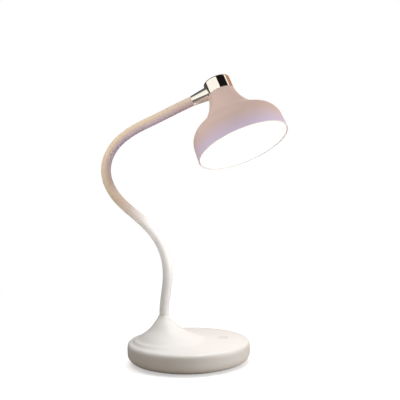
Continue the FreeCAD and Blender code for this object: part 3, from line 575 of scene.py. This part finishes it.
def shade():
    s = shadeShape
    shelfTop, shelfUnder = -s["shelf"], -s["shelf"] - s["shelfWall"]
    outer = [(r, -d) for r, d in shadeOutline(0)]
    inner = [(r, -d) for r, d in shadeOutline(s["wall"]) if -d < shelfUnder - s["shelfGap"]]
    rimRound = s["wall"] / 2
    rimMiddle = ((outer[-1][0] + inner[-1][0]) / 2, -s["height"] + rimRound)
    outline = (
        outer[:-1]
        + arc(rimMiddle, rimRound, 0, -180, 10)
        + inner[-2::-1]
        + [(inner[0][0], shelfUnder), (s["window"], shelfUnder), (s["window"], shelfTop)]
        + [(s["top"] - s["wall"], shelfTop), (s["top"] - s["wall"], 0)]
    )
    piece = lathed("shade", outline, head, finishes["shade_paint"].material)
    noteHeight(piece, head)
    standsFor(piece, "head", "shade_paint", "shade_shell")


capShape = {"radius": 13.2, "height": 14.0, "wall": 0.9, "round": 2.0, "seam": 0.12, "edge": 0.25}


def cap():
    c = capShape
    r, h, w, b = c["radius"], c["height"], c["wall"], c["round"]
    outline = (
        [(r - w, c["seam"]), (r - c["edge"], c["seam"]), (r, c["seam"] + c["edge"])]
        + arc((r - b, h - b), b, 0, 90, 14)
        + [(r * 0.5, h), (0, h), (0, h - w), (r - w, h - w)]
    )
    piece = lathed("cap", outline, head, finishes["chrome_trim"].material, sharpAngle=30.0)
    standsFor(piece, "head", "chrome_trim", "top_cap")


def ferrulePlace():
    raised = Matrix.Translation(Vector((0, 0, headShape["ferruleRise"] * mm)))
    return head @ raised @ Matrix.Rotation(math.radians(90), 4, "Y")


def ferrule():
    h = headShape
    mouth = -h["ferruleReach"]
    end = -capShape["radius"] + h["ferruleSink"]
    outline = [
        (h["hoseHole"], mouth),
        (h["ferruleSmall"] - h["ferruleEdge"], mouth),
        (h["ferruleSmall"] - h["ferruleCorner"], mouth + h["ferruleCorner"]),
        (h["ferruleSmall"], mouth + h["ferruleEdge"]),
        (h["ferruleLarge"], -capShape["radius"]),
        (h["ferruleLarge"], end),
        (h["hoseHole"], end),
    ]
    piece = lathed("ferrule", outline, ferrulePlace(), finishes["chrome_trim"].material, 96, 30.0)
    standsFor(piece, "head", "chrome_trim", "ferrule")


diffuserShape = {
    "recess": 0.5,
    "fit": 0.2,
    "thickness": 1.5,
    "skirt": 6.0,
    "skirtTaper": 0.4,
    "edge": 0.8,
    "crown": 0.2,
    "crownLine": [(0.0, 1.0), (0.35, 0.85), (0.7, 0.45)],     # shares of the rim's radius and of the crown
}


def diffuser():
    d, s = diffuserShape, shadeShape
    slope = math.tan(math.radians(s["skirtAngle"]))
    rim = s["mouth"] - s["wall"] - d["fit"] - d["recess"] * slope
    face = -s["height"] + d["recess"]
    skirtTop = face + d["skirt"]
    outline = (
        [(rim * out, face - d["crown"] * down) for out, down in d["crownLine"]]
        + arc((rim - d["edge"], face + d["edge"]), d["edge"], -90, 0, 8)
        + [(rim - d["skirt"] * slope, skirtTop), (rim - d["thickness"] - d["skirtTaper"], skirtTop)]
        + [(rim - d["thickness"], face + d["thickness"]), (0, face + d["thickness"])]
    )
    piece = lathed("diffuser", outline, head, finishes["opal_diffuser"].material)
    standsFor(piece, "head", "opal_diffuser", "diffuser")


shade()
cap()
ferrule()
diffuser()
print("head made")


# Neck: a smooth line through the hinges, swept into one length of sleeve for each hinge

neckShape = {
    "radius": 4.8,
    "wall": 1.0,
    "link": 25.8,
    "rootBottom": 40.1,
    "footPlace": -24.0,
    "footLift": 0.12,
    "around": 64,
    "rings": 34,              # along one length
    "rootRings": 10,
    "rigidEnds": 0.1,         # share of a length at each end; its places on the neck's line are worked out but not used
    "lap": 0.0025,            # share of a length that runs on into its neighbour
    "lampAhead": 0.85,        # from the neck's bend the lit mouth lies ahead and below
    "lampBelow": 0.5,
}


def smoothLine(points):
    # an evenly bending line through evenly spaced points: gives place(t), where t counts the points
    p = np.array(points, float)
    n = len(p)
    system = np.eye(n)
    wanted = np.zeros((n, 3))
    wanted[0] = p[1] - p[0]
    wanted[-1] = p[-1] - p[-2]
    for i in range(1, n - 1):
        system[i, i - 1:i + 2] = (1, 4, 1)
        wanted[i] = 3 * (p[i + 1] - p[i - 1])
    slopes = np.linalg.solve(system, wanted)

    def place(t):
        i = min(int(t), n - 2)
        u = t - i
        return Vector(
            (2 * u**3 - 3 * u**2 + 1) * p[i] + (u**3 - 2 * u**2 + u) * slopes[i]
            + (3 * u**2 - 2 * u**3) * p[i + 1] + (u**3 - u**2) * slopes[i + 1]
        )

    return place


joints = frame["joints"]
halfLink = neckShape["link"] / 2 * mm
neckTop = ferrulePlace() @ Vector((0, 0, -headShape["ferruleReach"] * mm))
ferruleWay = (head.to_3x3() @ Vector((1, 0, 0))).normalized()
footLevel = joints[0]["pos_m"][2] - neckShape["link"] * mm + neckShape["footLift"] * mm
neckFoot = Vector((neckShape["footPlace"] * mm, 0, footLevel))
neckPoints = [neckFoot] + [Vector(j["pos_m"]) for j in joints] + [neckTop + ferruleWay * halfLink]
neckLine = smoothLine([tuple(p) for p in neckPoints])


def lampSide():
    ahead = Vector((ferruleWay.x, ferruleWay.y, 0)).normalized()
    below = Vector((0, 0, -1))
    return (ahead * neckShape["lampAhead"] + below * neckShape["lampBelow"]).normalized()


def noteOn(tree, name, geometry, value):
    # keeps a value on every point, for the finish to read
    node = addNode(tree, "GeometryNodeStoreNamedAttribute")
    node.inputs["Name"].default_value = name
    tree.links.new(geometry, node.inputs["Geometry"])
    tree.links.new(value, node.inputs["Value"])
    return node.outputs["Geometry"]


def sweepTree():
    # sweeps a round section along a curve, and notes the way along it and how far a side faces the lamp
    tree = bpy.data.node_groups.new("sweptSleeve", "GeometryNodeTree")
    sockets = {
        "Geometry": "Geometry", "Radius": "Float", "Way start": "Float", "Way end": "Float",
        "Around": "Int", "Lamp side": "Vector",
    }
    for label, kind in sockets.items():
        tree.interface.new_socket(label, in_out="INPUT", socket_type="NodeSocket" + kind)
    tree.interface.new_socket("Geometry", in_out="OUTPUT", socket_type="NodeSocketGeometry")
    link = tree.links.new
    given = addNode(tree, "NodeGroupInput").outputs
    ring = addNode(tree, "GeometryNodeCurvePrimitiveCircle")
    link(given["Around"], ring.inputs["Resolution"])
    link(given["Radius"], ring.inputs["Radius"])
    way = addNode(tree, "ShaderNodeMapRange")
    link(addNode(tree, "GeometryNodeSplineParameter").outputs["Factor"], way.inputs["Value"])
    link(given["Way start"], way.inputs["To Min"])
    link(given["Way end"], way.inputs["To Max"])
    swept = addNode(tree, "GeometryNodeCurveToMesh")
    link(noteOn(tree, "alongNeck", given["Geometry"], way.outputs["Result"]), swept.inputs["Curve"])
    link(ring.outputs["Curve"], swept.inputs["Profile Curve"])
    toLamp = addNode(tree, "ShaderNodeVectorMath", operation="DOT_PRODUCT")
    link(addNode(tree, "GeometryNodeInputNormal").outputs["Normal"], toLamp.inputs[0])
    link(given["Lamp side"], toLamp.inputs[1])
    noted = noteOn(tree, "facingLamp", swept.outputs["Mesh"], toLamp.outputs["Value"])
    link(noted, addNode(tree, "NodeGroupOutput").inputs["Geometry"])
    return tree


def setInputs(modifier, values):
    for item in modifier.node_group.interface.items_tree:
        if item.item_type == "SOCKET" and item.in_out == "INPUT" and item.name in values:
            modifier[item.identifier] = values[item.name]


sleeveTree = sweepTree()


def evaluatedMesh(holder):
    depsgraph = bpy.context.evaluated_depsgraph_get()
    return bpy.data.meshes.new_from_object(holder.evaluated_get(depsgraph), depsgraph=depsgraph)


def sleeveLength(name, start, end, rings):
    # one length of sleeve between two places on the neck's line
    n = neckShape
    curve = bpy.data.curves.new(name + "Line", "CURVE")
    curve.dimensions = "3D"
    curve.twist_mode = "MINIMUM"
    spline = curve.splines.new("POLY")
    spline.points.add(rings)
    for i, point in enumerate(spline.points):
        point.co = (*neckLine(start + (end - start) * i / rings), 1.0)
    guide = bpy.data.objects.new(name + "Line", curve)
    bpy.context.scene.collection.objects.link(guide)
    sweep = guide.modifiers.new("sweep", "NODES")
    sweep.node_group = sleeveTree
    total = len(joints) + 1
    setInputs(sweep, {
        "Radius": n["radius"] * mm,
        "Way start": start / total,
        "Way end": end / total,
        "Around": n["around"],
        "Lamp side": lampSide(),
    })
    mesh = evaluatedMesh(guide)
    bpy.data.objects.remove(guide)
    bpy.data.curves.remove(curve)
    piece = dressed(name, mesh, finishes["neck_sleeve"].material)
    wall = piece.modifiers.new("wall", "SOLIDIFY")
    wall.thickness = n["wall"] * mm
    wall.offset = -1.0
    solid = evaluatedMesh(piece)
    piece.modifiers.clear()
    piece.data = solid
    solid.name = name
    solid.set_sharp_from_angle(angle=math.radians(creaseAngle))
    return piece


def neck():
    n = neckShape
    foot = (n["rootBottom"] * mm - neckPoints[0].z) / (n["link"] * mm)
    root = sleeveLength("sleeveRoot", foot, 0.5, n["rootRings"])
    standsFor(root, "base", "neck_sleeve", "sleeve_root")
    keep = n["rigidEnds"]
    for k, joint in enumerate(joints, start=1):
        piece = sleeveLength(f"sleeve{k:02d}", k - 0.5 - n["lap"], k + 0.5 + n["lap"], n["rings"])
        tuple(neckLine(k - 0.5 + keep))
        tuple(neckLine(k + 0.5 - keep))
        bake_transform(piece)
        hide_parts(f"sleeve_{k:02d}")


neck()
print("neck made")


# Floor, light and camera: places here are in metres

studio = {
    "worldLight": 0.16,
    "worldTint": (1.0, 0.96, 0.92),
    "floorTint": (0.42, 0.36, 0.30),      # what the floor throws back at the lamp
    "floorLift": 0.45,
    "floorSize": 6.0,
    "floorDrop": 0.00005,                 # a hair under the pad, which lies on it
    "floorClears": (0.20, 0.45),          # from the lamp, where the floor turns plain white
}

cameraView = {
    "place": (-0.1626, -1.258, 0.3273),
    "azimuth": -8.0,
    "pitch": 7.4,
    "roll": 1.1,
    "lens": 117.0,
    "sensor": 36.0,
}


def lightPathMix(tree, kind, fallback, seen):
    way = addNode(tree, "ShaderNodeLightPath")
    mix = addNode(tree, "ShaderNodeMixShader")
    tree.links.new(way.outputs[kind], mix.inputs["Fac"])
    tree.links.new(fallback, mix.inputs[1])
    tree.links.new(seen, mix.inputs[2])
    return mix.outputs["Shader"]


def floorPaint():
    # the camera sees a white floor with the lamp's shadow on it
    s = studio
    material = bpy.data.materials.new("paleFloor")
    material.use_nodes = True
    material.cycles.emission_sampling = "NONE"
    tree = material.node_tree
    tree.nodes.clear()
    matt = addNode(tree, "ShaderNodeBsdfDiffuse")
    matt.inputs["Color"].default_value = (*white, 1.0)
    lift = addNode(tree, "ShaderNodeEmission")
    lift.inputs["Strength"].default_value = s["floorLift"]
    near = addNode(tree, "ShaderNodeAddShader")
    tree.links.new(matt.outputs["BSDF"], near.inputs[0])
    tree.links.new(lift.outputs["Emission"], near.inputs[1])
    far = addNode(tree, "ShaderNodeEmission")
    away = addNode(tree, "ShaderNodeVectorMath", operation="LENGTH")
    tree.links.new(addNode(tree, "ShaderNodeTexCoord").outputs["Object"], away.inputs[0])
    plain = addNode(tree, "ShaderNodeMixShader")
    cleared = mapped(tree, away.outputs["Value"], 0.0, 1.0, *s["floorClears"])
    tree.links.new(cleared, plain.inputs["Fac"])
    tree.links.new(near.outputs["Shader"], plain.inputs[1])
    tree.links.new(far.outputs["Emission"], plain.inputs[2])
    unseen = addNode(tree, "ShaderNodeBsdfDiffuse")
    unseen.inputs["Color"].default_value = (*s["floorTint"], 1.0)
    output = addNode(tree, "ShaderNodeOutputMaterial")
    mixed = lightPathMix(tree, "Is Camera Ray", unseen.outputs["BSDF"], plain.outputs["Shader"])
    tree.links.new(mixed, output.inputs["Surface"])
    return material


def floor():
    size, level = studio["floorSize"], -studio["floorDrop"]
    corners = [(-size, -size, level), (size, -size, level), (size, size, level), (-size, size, level)]
    newPiece("floor", corners, [(0, 1, 2, 3)], floorPaint())


# what the polished metal mirrors: strips of the studio, by the angle round the cap where each starts,
# counted from the camera's side
mirrored = {
    "strips": [
        (-180, (0.02, 0.018, 0.016)),
        (-92, (1.0, 0.96, 0.86)),
        (12, (0.01, 0.008, 0.008)),
        (88, (1.0, 0.98, 0.95)),
        (102, (0.50, 0.25, 0.13)),
    ],
    "pole": (0.11, 0.105, 0.10),      # the strips fade to this where they would all meet
    "poleFades": (0.70, 0.95),
}


def mirroredStrips(tree):
    m = mirrored
    axis = Vector(head.col[2][:3])
    view = (head.translation - Vector(cameraView["place"])).normalized()
    ahead = -(view - axis * view.dot(axis)).normalized()
    turn = Matrix((ahead, axis.cross(ahead), axis)).to_euler()
    mapping = addNode(tree, "ShaderNodeMapping")
    mapping.inputs["Rotation"].default_value = turn
    tree.links.new(addNode(tree, "ShaderNodeTexCoord").outputs["Generated"], mapping.inputs["Vector"])
    radial = addNode(tree, "ShaderNodeTexGradient", gradient_type="RADIAL")
    tree.links.new(mapping.outputs["Vector"], radial.inputs["Vector"])
    stops = [((angle + 180) / 360, colour) for angle, colour in m["strips"]]
    bands = ramp(tree, radial.outputs["Fac"], stops, "CONSTANT")
    parts = addNode(tree, "ShaderNodeSeparateXYZ")
    tree.links.new(mapping.outputs["Vector"], parts.inputs["Vector"])
    pole = mapped(tree, parts.outputs["Z"], 0.0, 1.0, *m["poleFades"])
    return blended(tree, pole, bands, m["pole"])


def world():
    # white to the camera, strips in mirrors, and a dim even light for the rest
    studioWorld = bpy.data.worlds.new("studio")
    bpy.context.scene.world = studioWorld
    studioWorld.use_nodes = True
    tree = studioWorld.node_tree
    tree.nodes.clear()
    seen = addNode(tree, "ShaderNodeBackground")
    seen.inputs["Color"].default_value = (*white, 1.0)
    light = addNode(tree, "ShaderNodeBackground")
    light.inputs["Color"].default_value = (*studio["worldTint"], 1.0)
    light.inputs["Strength"].default_value = studio["worldLight"]
    strips = addNode(tree, "ShaderNodeBackground")
    tree.links.new(mirroredStrips(tree), strips.inputs["Color"])
    output = addNode(tree, "ShaderNodeOutputWorld")
    glossy = lightPathMix(tree, "Is Glossy Ray", light.outputs["Background"], strips.outputs["Background"])
    clear = lightPathMix(tree, "Is Transmission Ray", glossy, seen.outputs["Background"])
    camera = lightPathMix(tree, "Is Camera Ray", clear, seen.outputs["Background"])
    tree.links.new(camera, output.inputs["Surface"])


# square lamps have a size, and spots a cone in degrees
headMiddle = (0.0, -0.01, 0.222)

lamps = {
    "keyLight": {
        "place": (-0.15, 0.20, 1.30), "aim": (0, 0, 0), "size": 1.0, "power": 8.5, "tint": (0.98, 0.99, 1.0),
    },
    "sideLight": {
        "place": (0.75, -0.35, 0.12), "aim": (0, 0, 0.02), "size": 0.35, "power": 2.8, "inMirrors": True,
    },
    "headLight": {"place": (-0.28, -1.08, 0.42), "aim": headMiddle, "cone": 20, "power": 17.0},
    "leftLight": {"place": (-1.05, -0.30, 0.30), "aim": headMiddle, "cone": 14, "power": 29.0},
    "rightLight": {"place": (1.05, -0.30, 0.40), "aim": headMiddle, "cone": 14, "power": 21.0},
    "frontLight": {"place": (0.45, -0.95, 0.15), "aim": (0, 0, 0.02), "size": 0.35, "power": 0.5},
    "backLight": {"place": (0.25, 1.10, 0.35), "aim": (0, 0, 0.12), "size": 0.60, "power": 3.5},
}

spotEdge = {"blend": 0.6, "soft": 0.09}

# the lit mouth of the lamp lights its own foot and the table: radius, drop and aim in millimetres
mouthGlow = {"radius": 42.0, "drop": 1.0, "aim": 50.0, "power": 0.24, "tint": (1.0, 0.99, 0.97)}


def lampAt(name, kind, place, aim, power, tint=white):
    lamp = bpy.data.lights.new(name, kind)
    lamp.energy = power
    lamp.color = tint
    holder = bpy.data.objects.new(name, lamp)
    bpy.context.scene.collection.objects.link(holder)
    holder.location = place
    holder.rotation_mode = "QUATERNION"
    holder.rotation_quaternion = (Vector(aim) - Vector(place)).to_track_quat("-Z", "Y")
    return holder


def lights():
    # the spots are held to the head and the upper neck, so that the foot keeps its shade
    for name, given in lamps.items():
        kind = "SPOT" if "cone" in given else "AREA"
        holder = lampAt(name, kind, given["place"], given["aim"], given["power"], given.get("tint", white))
        holder.visible_glossy = given.get("inMirrors", False)
        if kind == "SPOT":
            holder.data.spot_size = math.radians(given["cone"])
            holder.data.spot_blend = spotEdge["blend"]
            holder.data.shadow_soft_size = spotEdge["soft"]
        else:
            holder.data.shape = "SQUARE"
            holder.data.size = given["size"]
    g = mouthGlow
    below = head @ Vector((0, 0, -(shadeShape["height"] + g["drop"]) * mm))
    further = head @ Vector((0, 0, -(shadeShape["height"] + g["aim"]) * mm))
    glow = lampAt("mouthGlow", "AREA", below, further, g["power"], g["tint"])
    glow.data.shape = "DISK"
    glow.data.size = 2 * g["radius"] * mm
    glow.visible_camera = False
    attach(glow, "head")


def camera():
    c = cameraView
    a, p, r = (math.radians(c[k]) for k in ("azimuth", "pitch", "roll"))
    forward = Vector((-math.sin(a) * math.cos(p), math.cos(a) * math.cos(p), -math.sin(p)))
    right = Vector((math.cos(a), math.sin(a), 0))
    up = right.cross(forward)
    rolledRight = right * math.cos(r) - up * math.sin(r)
    rolledUp = right * math.sin(r) + up * math.cos(r)
    lens = bpy.data.cameras.new("camera")
    lens.lens = c["lens"]
    lens.sensor_width = c["sensor"]
    holder = bpy.data.objects.new("camera", lens)
    bpy.context.scene.collection.objects.link(holder)
    turned = Matrix((rolledRight, rolledUp, -forward)).transposed().to_4x4()
    holder.matrix_world = Matrix.Translation(Vector(c["place"])) @ turned
    bpy.context.scene.camera = holder


floor()
world()
lights()
camera()
bpy.context.scene.view_settings.view_transform = "Standard"

print("studio made")
